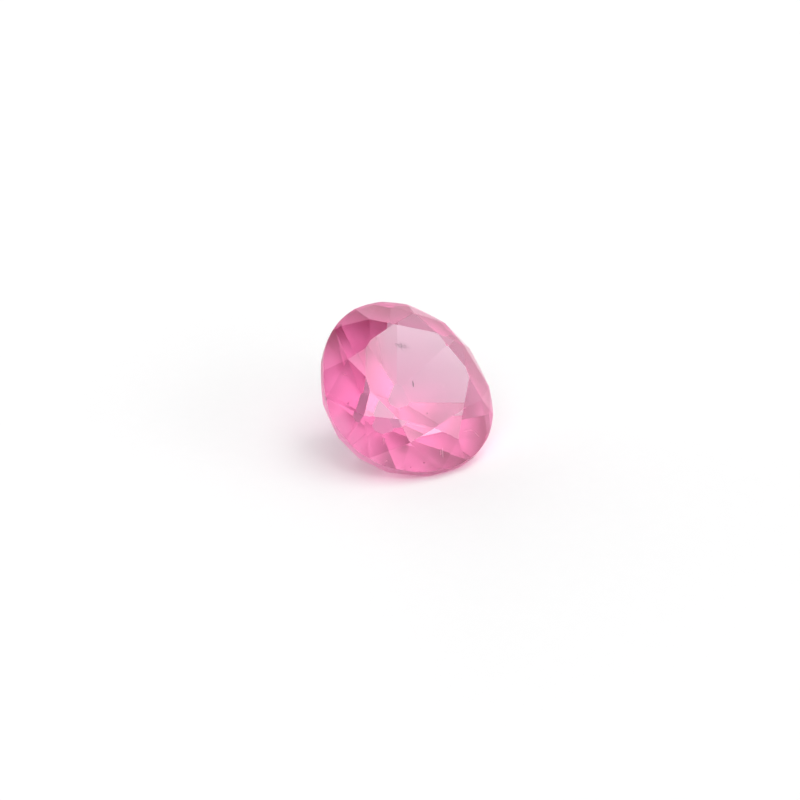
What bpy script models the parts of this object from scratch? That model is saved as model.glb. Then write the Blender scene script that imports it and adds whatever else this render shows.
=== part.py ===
# A cut ruby, lying on one main facet of its pavilion.
# The stone is ground from a round blank by flat cuts, the way a gem cutter works, and
# then laid down. Directions round the stone are in degrees from one mark on the blank.

import bpy
import bmesh
import numpy
from math import atan2, cos, radians, sin, tan
from mathutils import Matrix, Vector

MM = 0.001

# Outline of the girdle: a mean radius with a slight oval and a slight three-sided swell
MEAN_RADIUS = 3.5 * MM
OVAL_SHARE = 0.040
OVAL_DIRECTION = 1
SWELL_SHARE = 0.025
SWELL_DIRECTION = 57
SQUARE_SHARE = 0.0095
SQUARE_DIRECTION = 33
GIRDLE_SIDES = 120
GIRDLE_THICKNESS = 0.33 * MM

# Crown: how far the table stands over the girdle, and the slope of the star facets
CROWN_HEIGHT = 1.03 * MM
STAR_SLOPE = 23

# Pavilion: a steep ring of break facets under the girdle, shallow mains, and a flat
# culet. The last two start at these shares of the girdle's radius.
BREAK_SLOPE = 56
MAIN_SHARE = 0.90
CULET_SHARE = 0.13

# Each star facet: its direction, its foot on the girdle and its edge on the table
STARS = [
    {"facing": -111, "foot": -113, "edge": 1.985 * MM},
    {"facing": -63, "foot": -63, "edge": 1.93 * MM},
    {"facing": -26, "foot": -24, "edge": 2.04 * MM},
    {"facing": 20, "foot": 20, "edge": 2.09 * MM},
    {"facing": 59, "foot": 60, "edge": 2.055 * MM},
    {"facing": 111, "foot": 110, "edge": 1.955 * MM},
    {"facing": 157, "foot": 159, "edge": 2.0 * MM},
    {"facing": 202, "foot": 194, "edge": 2.09 * MM},
]

# Each kite facet, after the star of its row: its direction, its tip on the girdle and
# how much too deep it was cut, so that the table ends it in a short edge
KITES = [
    {"facing": -92, "tip": -93, "overcut": 0.10 * MM},
    {"facing": -47, "tip": -45, "overcut": 0},
    {"facing": -5, "tip": 2, "overcut": 0},
    {"facing": 41, "tip": 43, "overcut": 0},
    {"facing": 88, "tip": 80, "overcut": 0.09 * MM},
    {"facing": 133, "tip": 133, "overcut": 0},
    {"facing": 176, "tip": 176, "overcut": 0},
    {"facing": 223, "tip": 214, "overcut": 0.07 * MM},
]

# The mains face in even steps but slope a little unevenly, and the stone rests on one
# that was cut slightly too deep
MAIN_SLOPES = [39, 37, 38, 37, 38.5, 39, 37.5, 38]
RESTING_MAIN = 2
RESTING_DIRECTION = 5
RESTING_OVERCUT = 0.10 * MM

# The stone leans this way as it lies, turned from +X towards the front
LEAN_DIRECTION = -58.7

# Points closer to a cut than this lie on it
SNAP = 0.002 * MM


def clear_scene():
    for old in list(bpy.data.objects):
        bpy.data.objects.remove(old, do_unlink=True)


def heading(direction):
    return Vector((cos(radians(direction)), sin(radians(direction)), 0))


def girdle_radius(direction):
    oval = OVAL_SHARE * cos(2 * radians(direction - OVAL_DIRECTION))
    swell = SWELL_SHARE * cos(3 * radians(direction - SWELL_DIRECTION))
    square = SQUARE_SHARE * cos(4 * radians(direction - SQUARE_DIRECTION))
    return MEAN_RADIUS * (1 + oval + swell + square)


def girdle_point(direction, height):
    return heading(direction) * girdle_radius(direction) + Vector((0, 0, height))


def sloped_plane(point, direction, slope):
    # The outward normal of a facet that faces a direction and slopes from level
    normal = heading(direction) * sin(radians(slope)) + Vector((0, 0, cos(radians(slope))))
    return {"point": point, "normal": normal}


def facing_plane(outer, inner, direction):
    # A facet that faces a direction and holds an outer and an inner point
    run = (outer - inner).dot(heading(direction))
    rise = inner.z - outer.z
    normal = (heading(direction) * rise + Vector((0, 0, run))).normalized()
    if normal.dot(heading(direction)) < 0:
        normal.negate()
    return {"point": outer, "normal": normal}


def three_point_plane(first, second, third):
    # A facet through three points, facing away from the middle of the stone
    normal = (second - first).cross(third - first).normalized()
    if normal.dot(first) < 0:
        normal.negate()
    return {"point": first, "normal": normal}


def meeting_point(*planes):
    normals = [list(plane["normal"]) for plane in planes]
    offsets = [plane["normal"].dot(plane["point"]) for plane in planes]
    return Vector(numpy.linalg.solve(normals, offsets))


def crown_cuts():
    table = {"point": Vector((0, 0, CROWN_HEIGHT)), "normal": Vector((0, 0, 1))}
    top = Vector((0, 0, CROWN_HEIGHT))
    stars = []
    for star in STARS:
        edge = heading(star["facing"]) * star["edge"] + top
        stars.append(sloped_plane(edge, star["facing"], STAR_SLOPE))
    kites = []
    for row, kite in enumerate(KITES):
        corner = meeting_point(table, stars[row], stars[(row + 1) % len(stars)])
        corner.z -= kite["overcut"]
        tip = girdle_point(kite["tip"], 0)
        kites.append(facing_plane(tip, corner, kite["facing"]))
    uppers = []
    for row, star in enumerate(STARS):
        star_tip = meeting_point(stars[row], kites[row - 1], kites[row])
        foot = girdle_point(star["foot"], 0)
        for neighbour in (KITES[row - 1], KITES[row]):
            tip = girdle_point(neighbour["tip"], 0)
            uppers.append(three_point_plane(star_tip, foot, tip))
    return [table] + kites + stars + uppers


def pavilion_plane(direction, share, depth, slope):
    # A facet that slopes inwards from a share of the radius, a depth below the girdle
    start = girdle_point(direction, 0) * share
    start.z = -GIRDLE_THICKNESS - depth
    normal = heading(direction) * sin(radians(slope)) - Vector((0, 0, cos(radians(slope))))
    return {"point": start, "normal": normal}


def pavilion_cuts():
    main_count = len(MAIN_SLOPES)
    break_count = 2 * main_count
    breaks = []
    for row in range(break_count):
        direction = RESTING_DIRECTION + 360 / break_count * row
        breaks.append(pavilion_plane(direction, 1, 0, BREAK_SLOPE))
    main_depth = MEAN_RADIUS * (1 - MAIN_SHARE) * tan(radians(BREAK_SLOPE))
    mains = []
    for row, slope in enumerate(MAIN_SLOPES):
        direction = RESTING_DIRECTION + 360 / main_count * (row - RESTING_MAIN)
        depth = main_depth - RESTING_OVERCUT if row == RESTING_MAIN else main_depth
        mains.append(pavilion_plane(direction, MAIN_SHARE, depth, slope))
    main_drop = tan(radians(MAIN_SLOPES[RESTING_MAIN]))
    culet_depth = main_depth + MEAN_RADIUS * (MAIN_SHARE - CULET_SHARE) * main_drop
    culet = pavilion_plane(0, 0, culet_depth, 0)
    return mains, [culet] + breaks


def shape_blank(mesh):
    # A drum of the girdle's outline, taller than the stone at both ends
    height = 4 * MEAN_RADIUS
    bmesh.ops.create_cone(mesh, cap_ends=True, segments=GIRDLE_SIDES,
                          radius1=MEAN_RADIUS, radius2=MEAN_RADIUS, depth=height)
    for vertex in mesh.verts:
        direction = numpy.degrees(atan2(vertex.co.y, vertex.co.x))
        rim = heading(direction) * girdle_radius(direction)
        vertex.co.x = rim.x
        vertex.co.y = rim.y


def grind(mesh, cut):
    everything = mesh.verts[:] + mesh.edges[:] + mesh.faces[:]
    result = bmesh.ops.bisect_plane(mesh, geom=everything, dist=SNAP, plane_co=cut["point"],
                                    plane_no=cut["normal"], clear_outer=True)
    rim = [item for item in result["geom_cut"] if isinstance(item, bmesh.types.BMEdge)]
    open_rim = [edge for edge in rim if edge.is_boundary]
    if open_rim:
        bmesh.ops.edgeloop_fill(mesh, edges=open_rim)


def ruby_material():
    material = bpy.data.materials.new("ruby")
    material.use_nodes = True
    shader = material.node_tree.nodes["Principled BSDF"]
    shader.inputs["Base Color"].default_value = (0.83, 0.11, 0.30, 1)
    shader.inputs["Roughness"].default_value = 0.02
    shader.inputs["Metallic"].default_value = 0
    shader.inputs["IOR"].default_value = 1.77
    shader.inputs["Transmission Weight"].default_value = 0.9
    return material


def cut_stone():
    mains, other_pavilion_cuts = pavilion_cuts()
    stone = bmesh.new()
    shape_blank(stone)
    for cut in crown_cuts() + mains + other_pavilion_cuts:
        grind(stone, cut)
    bmesh.ops.recalc_face_normals(stone, faces=stone.faces[:])
    mesh = bpy.data.meshes.new("ruby")
    stone.to_mesh(mesh)
    stone.free()
    return mesh, mains[RESTING_MAIN]["normal"]


def lay_down(stone, resting_normal):
    # Turn the stone until the resting main faces straight down, leaning the right way
    settle = resting_normal.rotation_difference(Vector((0, 0, -1))).to_matrix()
    axis = settle @ Vector((0, 0, 1))
    lean = atan2(axis.y, axis.x)
    turn = Matrix.Rotation(radians(LEAN_DIRECTION) - lean, 3, "Z")
    pose = turn @ settle
    placed = [pose @ vertex.co for vertex in stone.data.vertices]
    low = [min(point[axis_index] for point in placed) for axis_index in range(3)]
    high = [max(point[axis_index] for point in placed) for axis_index in range(3)]
    stone.rotation_euler = pose.to_euler()
    stone.location = (-(low[0] + high[0]) / 2, -(low[1] + high[1]) / 2, -low[2])


def build_ruby():
    mesh, resting_normal = cut_stone()
    mesh.materials.append(ruby_material())
    stone = bpy.data.objects.new("ruby", mesh)
    lay_down(stone, resting_normal)
    collection = bpy.data.collections.new("faceted ruby")
    bpy.context.scene.collection.children.link(collection)
    collection.objects.link(stone)


clear_scene()
build_ruby()
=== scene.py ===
# A cut ruby that lies on its pavilion on a white table, in plain soft studio light.
# Lengths are in metres; values that a user would change are in millimetres.

import bpy
import bmesh
import random
from math import cos, pi, radians, sin
from mathutils import Matrix, Vector


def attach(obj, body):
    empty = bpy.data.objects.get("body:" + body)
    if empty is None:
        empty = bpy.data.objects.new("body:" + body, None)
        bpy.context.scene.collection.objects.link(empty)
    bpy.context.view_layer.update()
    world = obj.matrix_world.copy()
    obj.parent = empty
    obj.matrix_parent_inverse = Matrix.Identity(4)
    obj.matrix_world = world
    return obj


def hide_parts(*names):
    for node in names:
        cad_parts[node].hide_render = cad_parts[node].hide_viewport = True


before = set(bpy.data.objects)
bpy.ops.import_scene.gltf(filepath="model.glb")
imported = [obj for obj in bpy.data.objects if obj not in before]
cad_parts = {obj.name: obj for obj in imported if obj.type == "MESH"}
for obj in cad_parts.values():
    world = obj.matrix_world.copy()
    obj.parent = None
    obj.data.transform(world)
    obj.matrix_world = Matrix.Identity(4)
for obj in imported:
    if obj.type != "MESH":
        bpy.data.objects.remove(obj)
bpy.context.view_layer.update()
mm = 0.001
white = (1, 1, 1, 1)
noiseDetail = 2


def linearColour(hexCode):
    # sRGB hex to the linear values that shaders use
    channels = [int(hexCode[start:start + 2], 16) / 255 for start in (0, 2, 4)]
    linear = [c / 12.92 if c <= 0.04045 else ((c + 0.055) / 1.055) ** 2.4 for c in channels]
    return (*linear, 1.0)


def addNode(owner, kind, settings=None, **links):
    # One node: settings are properties or socket values, links are socket names
    tree = owner.node_tree
    node = tree.nodes.new(kind)
    for name, value in (settings or {}).items():
        if isinstance(name, int) or name in node.inputs:
            node.inputs[name].default_value = value
        else:
            setattr(node, name, value)
    for name, source in links.items():
        socket = int(name[1:]) if name[1:].isdigit() else name.replace("_", " ")
        tree.links.new(source, node.inputs[socket])
    return node


# Camera: a macro lens that looks down on the stone at a low angle

camera = {
    "girdleCentre": (-0.0188, -0.1255, 2.5551),   # middle of the rim under the table
    "girdlePixel": (406.89, 387.41),     # where that point stands in the picture
    "frameSize": 800,
    "pixel": 0.037797,                   # size of a pixel at that point
    "distance": 113.39,
    "elevation": 28.0,                   # degrees over the table
    "sensor": 36,
    "clipStart": 1,
    "clipEnd": 10000,
}


def placeCamera(values):
    tilt = radians(values["elevation"])
    right = Vector((1, 0, 0))
    up = Vector((0, sin(tilt), cos(tilt)))
    back = Vector((0, -cos(tilt), sin(tilt)))
    middle = values["frameSize"] / 2
    sideways = right * (middle - values["girdlePixel"][0]) * values["pixel"]
    upwards = up * (values["girdlePixel"][1] - middle) * values["pixel"]
    lens = bpy.data.cameras.new("macro lens")
    lens.sensor_width = values["sensor"]
    lens.lens = values["sensor"] * values["distance"] / (values["frameSize"] * values["pixel"])
    lens.clip_start = values["clipStart"] * mm
    lens.clip_end = values["clipEnd"] * mm
    holder = bpy.data.objects.new("camera", lens)
    spot = Vector(values["girdleCentre"]) + sideways + upwards + back * values["distance"]
    holder.location = spot * mm
    holder.rotation_euler = Matrix((right, up, back)).transposed().to_euler()
    bpy.context.scene.collection.objects.link(holder)
    bpy.context.scene.camera = holder


placeCamera(camera)
print("camera placed")


# Studio: a white table top in a pale room that softboxes light from all round

table = {
    "side": 1200,
    "drop": 0.01,            # the stone's lowest facet stays this far clear of it
    "colour": "e8e8e8",
    "roughness": 0.7,
    "specular": 0.2,
    "speckleSize": 0.6,      # fine unevenness of the laminate
    "speckleShare": 0.015,
}

# Each softbox fills a span of azimuths and elevations in degrees. Azimuths run from +X
# over the side away from the camera, and softboxes that overlap add up.
room = {
    "softEdge": 3,
    "mapSize": 1024,         # samples across the map that finds the bright directions
    "boxes": [
        # high, mostly in front: the stone's table and lower star facets mirror these
        {"azimuth": (-135, -45), "elevation": (35, 55), "radiance": 3.1},
        {"azimuth": (-120, 60), "elevation": (55, 76), "radiance": 2.5},
        {"azimuth": (-180, -120), "elevation": (55, 76), "radiance": 0.8},
        {"azimuth": (-180, 180), "elevation": (76, 91), "radiance": 1.6},
        # half way up: dimmer to the left of the camera, which deepens the facets there
        {"azimuth": (-60, 0), "elevation": (15, 35), "radiance": 2.55},
        {"azimuth": (-180, -60), "elevation": (15, 35), "radiance": 0.5},
        {"azimuth": (0, 120), "elevation": (15, 35), "radiance": 1.1},
        {"azimuth": (120, 180), "elevation": (15, 35), "radiance": 1.4},
        {"azimuth": (0, 90), "elevation": (35, 55), "radiance": 0.85},
        # low, just over the table top: these shine in under the stone
        {"azimuth": (-90, 0), "elevation": (0, 15), "radiance": 2.4},
        {"azimuth": (0, 90), "elevation": (0, 15), "radiance": 0.85},
        {"azimuth": (90, 180), "elevation": (0, 15), "radiance": 4.3},
        {"azimuth": (-180, -90), "elevation": (0, 15), "radiance": 1.15},
    ],
}

# Plain display colours, and enough bounces for light that rings inside a gem
picture = {
    "colours": "Standard",
    "bounces": 24,
    "glossyBounces": 12,
    "transparentBounces": 16,
    "brightestBounce": 10,
}


def makeLaminate(values):
    # Matt white laminate, as a photo table has: even, with a barely visible fine speckle
    laminate = bpy.data.materials.new("matt white laminate")
    laminate.use_nodes = True
    tree = laminate.node_tree
    shader = tree.nodes["Principled BSDF"]
    shader.inputs["Roughness"].default_value = values["roughness"]
    shader.inputs["Specular IOR Level"].default_value = values["specular"]
    place = addNode(laminate, "ShaderNodeTexCoord")
    speckle = addNode(laminate, "ShaderNodeTexNoise",
                      {"Scale": 1 / (values["speckleSize"] * mm), "Detail": noiseDetail},
                      Vector=place.outputs["Object"])
    plain = linearColour(values["colour"])
    darker = tuple(channel * (1 - values["speckleShare"]) for channel in plain[:3]) + (1,)
    blend = addNode(laminate, "ShaderNodeMix", {"data_type": "RGBA", 6: plain, 7: darker},
                    Factor=speckle.outputs["Fac"])
    tree.links.new(blend.outputs[2], shader.inputs["Base Color"])
    return laminate


def layTable(values):
    mesh = bmesh.new()
    bmesh.ops.create_grid(mesh, x_segments=1, y_segments=1, size=values["side"] * mm / 2)
    bmesh.ops.translate(mesh, verts=mesh.verts, vec=(0, 0, -values["drop"] * mm))
    data = bpy.data.meshes.new("table top")
    mesh.to_mesh(data)
    mesh.free()
    top = bpy.data.objects.new("table_top", data)
    bpy.context.scene.collection.objects.link(top)
    data.materials.append(makeLaminate(values))


def softRange(world, value, low, high, edge):
    # 1 between two angles and 0 outside, with a soft edge
    ends = []
    for angle, outside, inside in ((low, 0, 1), (high, 1, 0)):
        ends.append(addNode(world, "ShaderNodeMapRange",
                            {"interpolation_type": "SMOOTHSTEP",
                             "From Min": radians(angle - edge), "From Max": radians(angle + edge),
                             "To Min": outside, "To Max": inside},
                            Value=value).outputs["Result"])
    both = addNode(world, "ShaderNodeMath", {"operation": "MULTIPLY"}, _0=ends[0], _1=ends[1])
    return both.outputs[0]


def lightRoom(values):
    world = bpy.data.worlds.new("pale room")
    world.use_nodes = True
    bpy.context.scene.world = world
    links = world.node_tree.links
    towards = addNode(world, "ShaderNodeTexCoord").outputs["Generated"]
    parts = addNode(world, "ShaderNodeSeparateXYZ", Vector=towards).outputs
    elevation = addNode(world, "ShaderNodeMath", {"operation": "ARCSINE"},
                        _0=parts["Z"]).outputs[0]
    azimuth = addNode(world, "ShaderNodeMath", {"operation": "ARCTAN2"},
                      _0=parts["Y"], _1=parts["X"]).outputs[0]
    total = None
    for box in values["boxes"]:
        low, high = box["azimuth"]
        lit = softRange(world, elevation, *box["elevation"], values["softEdge"])
        if high - low < 360:
            middle = (low + high) / 2
            turned = addNode(world, "ShaderNodeMath",
                             {"operation": "SUBTRACT", 1: radians(middle)}, _0=azimuth)
            wrapped = addNode(world, "ShaderNodeMath", {"operation": "WRAP", 1: pi, 2: -pi},
                              _0=turned.outputs[0])
            across = softRange(world, wrapped.outputs[0], low - middle, high - middle,
                               values["softEdge"])
            lit = addNode(world, "ShaderNodeMath", {"operation": "MULTIPLY"},
                          _0=lit, _1=across).outputs[0]
        glow = addNode(world, "ShaderNodeMath",
                       {"operation": "MULTIPLY", 1: box["radiance"]}, _0=lit).outputs[0]
        if total is None:
            total = glow
        else:
            total = addNode(world, "ShaderNodeMath", {"operation": "ADD"},
                            _0=total, _1=glow).outputs[0]
    links.new(total, world.node_tree.nodes["Background"].inputs["Strength"])
    world.node_tree.nodes["Background"].inputs["Color"].default_value = white
    world.cycles.sampling_method = "MANUAL"
    world.cycles.sample_map_resolution = values["mapSize"]


def setPicture(values):
    scene = bpy.context.scene
    scene.view_settings.view_transform = values["colours"]
    scene.cycles.max_bounces = values["bounces"]
    scene.cycles.transmission_bounces = values["bounces"]
    scene.cycles.glossy_bounces = values["glossyBounces"]
    scene.cycles.transparent_max_bounces = values["transparentBounces"]
    scene.cycles.caustics_reflective = True
    scene.cycles.caustics_refractive = True
    scene.cycles.blur_glossy = 0
    scene.cycles.sample_clamp_indirect = values["brightestBounce"]


layTable(table)
lightRoom(room)
setPicture(picture)
print("studio lit")


# The stone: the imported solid, joined into whole facets

stone = {
    "mergeWithin": 0.0005,   # mm
    "flatWithin": 0.05,      # degrees between triangles of one facet
    "girdleWithin": 3,       # degrees from upright that count as the ground girdle
    # Roughness of each part of the stone
    "crownFinish": 0.0,
    "pavilionFinish": 0.3,
    "girdleFinish": 0.45,
}

ruby = {
    "refraction": 1.768,
    "absorbColour": "ec9bcc",
    "absorbDensity": 330,    # absorption in each metre, times what the colour lacks of white
}


def makeCorundum(values):
    # Polished corundum coloured by chromium: clear glassy facets over a body that takes
    # green light away fastest, so thick places glow hot pink and thin ones stay pale.
    # The underside is less finely polished and the girdle is only ground, which softens
    # what is seen through them.
    corundum = bpy.data.materials.new("polished ruby corundum")
    corundum.use_nodes = True
    tree = corundum.node_tree
    shader = tree.nodes["Principled BSDF"]
    shader.inputs["Base Color"].default_value = white
    shader.inputs["Transmission Weight"].default_value = 1
    shader.inputs["IOR"].default_value = values["refraction"]
    finish = addNode(corundum, "ShaderNodeAttribute", {"attribute_name": "finish"})
    tree.links.new(finish.outputs["Fac"], shader.inputs["Roughness"])
    body = addNode(corundum, "ShaderNodeVolumeAbsorption",
                   {"Color": linearColour(values["absorbColour"]),
                    "Density": values["absorbDensity"]})
    output = tree.nodes["Material Output"]
    tree.links.new(body.outputs["Volume"], output.inputs["Volume"])
    return corundum


def facetFinish(facet, tableNormal, values):
    rise = facet.normal.dot(tableNormal)
    if abs(rise) < sin(radians(values["girdleWithin"])):
        return values["girdleFinish"]
    return values["crownFinish"] if rise > 0 else values["pavilionFinish"]


def shapeStone(values, material):
    mesh = bmesh.new()
    mesh.from_mesh(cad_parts["ruby"].data)
    bmesh.ops.remove_doubles(mesh, verts=mesh.verts, dist=values["mergeWithin"] * mm)
    bmesh.ops.dissolve_limit(mesh, angle_limit=radians(values["flatWithin"]),
                             verts=mesh.verts, edges=mesh.edges)
    bmesh.ops.recalc_face_normals(mesh, faces=mesh.faces)
    data = bpy.data.meshes.new("ruby stone")
    mesh.to_mesh(data)
    mesh.free()
    data.materials.append(material)
    # The table is the largest facet, and faces along the stone's axis
    tableNormal = max(data.polygons, key=lambda facet: facet.area).normal.copy()
    finish = data.attributes.new("finish", "FLOAT", "FACE")
    for facet in data.polygons:
        finish.data[facet.index].value = facetFinish(facet, tableNormal, values)
    piece = bpy.data.objects.new("ruby_stone", data)
    bpy.context.scene.collection.objects.link(piece)
    return piece


stonePiece = shapeStone(stone, makeCorundum(ruby))
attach(stonePiece, "root")
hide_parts("ruby")
print("stone shaped,", len(stonePiece.data.polygons), "facets")


# Inclusions and small damage, as the photograph shows them under the polished crown.
# Places are in the stone's own frame: along its level line, up its slope, and out along
# its axis from the middle of the rim.

inclusions = {
    "seed": 7,
    "unevenness": 0.25,      # share of its size that a grain or crystal is off round
    "grainRounds": 1,        # subdivisions of a grain and of a crystal
    "crystalRounds": 2,
    "silkCloud": {
        "from": (-0.15, 1.49, 0.80), "to": (0.27, 1.13, 0.80), "spread": 0.08,
        "grains": 420, "grain": (0.012, 0.024),
        "middle": 0.5, "gathering": 0.24,    # where along the band the grains gather
    },
    "darkCrystals": [
        {"from": (-0.16, -0.11, 0.90), "to": (-0.30, -0.46, 0.92), "width": 0.05},
        {"from": (-1.38, -3.08, 0.03), "to": (-1.30, -3.12, 0.04), "width": 0.04},
        {"from": (-0.85, -3.10, 0.14), "to": (-0.77, -3.12, 0.14), "width": 0.04},
        {"from": (-3.26, 0.57, -0.12), "to": (-3.23, 0.40, -0.12), "width": 0.09},
        {"from": (-2.80, -0.15, 0.38), "to": (-2.72, -0.11, 0.38), "width": 0.05},
        {"from": (-0.28, -1.60, 0.92), "to": (-0.22, -1.56, 0.92), "width": 0.06},
    ],
    "paleFeathers": [
        {"from": (-2.05, -1.83, 0.48), "to": (-2.14, -2.07, 0.35), "width": 0.035},
        {"from": (-2.17, -2.58, 0.04), "to": (-2.13, -2.61, 0.04), "width": 0.05},
        {"from": (-0.01, -2.85, 0.48), "to": (-0.04, -3.18, 0.22), "width": 0.035},
        {"from": (-0.10, -2.90, 0.44), "to": (-0.11, -3.08, 0.31), "width": 0.025},
        {"from": (-1.37, -1.60, 0.93), "to": (-0.44, -2.13, 0.93), "width": 0.014},
        {"from": (0.79, -0.57, 0.93), "to": (0.93, -0.71, 0.93), "width": 0.02},
        {"from": (0.84, -0.78, 0.93), "to": (0.98, -0.64, 0.93), "width": 0.016},
        {"from": (-2.50, 1.02, 0.50), "to": (-2.38, 0.93, 0.52), "width": 0.03},
        {"from": (1.03, -2.54, 0.58), "to": (1.30, -2.50, 0.53), "width": 0.016},
        {"from": (1.28, -2.50, 0.53), "to": (1.54, -2.54, 0.40), "width": 0.016},
        {"from": (1.52, -2.53, 0.41), "to": (1.80, -2.77, 0.12), "width": 0.016},
    ],
}

silk = {"pale": "8b7d88", "dark": "544853", "grain": 0.02, "roughness": 0.6}
rutile = {"pale": "5a3348", "dark": "2e1824", "grain": 0.03, "roughness": 0.35}
feather = {"pale": "fff4f8", "dark": "e9c4d4", "grain": 0.04, "roughness": 0.3}


def makeMineral(name, values):
    # Mineral that grew inside the stone, mottled at the size of its own grain
    mineral = bpy.data.materials.new(name)
    mineral.use_nodes = True
    tree = mineral.node_tree
    shader = tree.nodes["Principled BSDF"]
    shader.inputs["Roughness"].default_value = values["roughness"]
    place = addNode(mineral, "ShaderNodeTexCoord")
    mottle = addNode(mineral, "ShaderNodeTexNoise",
                     {"Scale": 1 / (values["grain"] * mm), "Detail": noiseDetail},
                     Vector=place.outputs["Object"])
    blend = addNode(mineral, "ShaderNodeMix",
                    {"data_type": "RGBA", 6: linearColour(values["dark"]),
                     7: linearColour(values["pale"])},
                    Factor=mottle.outputs["Fac"])
    tree.links.new(blend.outputs[2], shader.inputs["Base Color"])
    return mineral


def stoneSpot(place, axes):
    # From the stone's own frame to the room
    middle = Vector(camera["girdleCentre"])
    return (middle + axes[0] * place[0] + axes[1] * place[1] + axes[2] * place[2]) * mm


def stoneAxes(tableNormal):
    level = Vector((-tableNormal.y, tableNormal.x, 0)).normalized()
    return level, tableNormal.cross(level), tableNormal


def addCrystal(mesh, start, end, width, rounds, chance):
    # A long grain between two spots, a little off round as a grown crystal is
    along = end - start
    size = Matrix.Diagonal((width / 2, width / 2, max(along.length, width) / 2, 1))
    turn = along.to_track_quat("Z", "Y").to_matrix().to_4x4()
    made = bmesh.ops.create_icosphere(mesh, subdivisions=rounds, radius=1)["verts"]
    for vertex in made:
        vertex.co *= 1 - inclusions["unevenness"] * chance.random()
    place = Matrix.Translation((start + end) / 2) @ turn @ size
    bmesh.ops.transform(mesh, matrix=place, verts=made)


def fillCloud(mesh, values, axes, chance):
    # Fine rutile dust, thickest in the middle of a short band
    start, end = (stoneSpot(values[key], axes) for key in ("from", "to"))
    for grain in range(values["grains"]):
        share = min(max(chance.gauss(values["middle"], values["gathering"]), 0), 1)
        spot = start.lerp(end, share)
        for axis in axes:
            spot = spot + axis * chance.gauss(0, values["spread"]) * mm
        width = chance.uniform(*values["grain"]) * mm
        towards = Vector([chance.gauss(0, 1) for axis in axes]).normalized()
        addCrystal(mesh, spot, spot + towards * width, width, inclusions["grainRounds"], chance)


def finishPiece(mesh, name, material):
    bmesh.ops.recalc_face_normals(mesh, faces=mesh.faces)
    data = bpy.data.meshes.new(name)
    mesh.to_mesh(data)
    mesh.free()
    data.materials.append(material)
    piece = bpy.data.objects.new(name, data)
    bpy.context.scene.collection.objects.link(piece)
    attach(piece, "root")
    return piece


def growInclusions(values, axes):
    chance = random.Random(values["seed"])
    cloud = bmesh.new()
    fillCloud(cloud, values["silkCloud"], axes, chance)
    finishPiece(cloud, "silk_cloud", makeMineral("fine rutile silk", silk))
    for key, name, material in (
            ("darkCrystals", "dark_crystals", makeMineral("dark rutile crystal", rutile)),
            ("paleFeathers", "pale_feathers", makeMineral("healed feather", feather))):
        mesh = bmesh.new()
        for mark in values[key]:
            start, end = (stoneSpot(mark[side], axes) for side in ("from", "to"))
            addCrystal(mesh, start, end, mark["width"] * mm, values["crystalRounds"], chance)
        finishPiece(mesh, name, material)


tableFacet = max(stonePiece.data.polygons, key=lambda facet: facet.area)
growInclusions(inclusions, stoneAxes(tableFacet.normal.copy()))
print("inclusions grown")
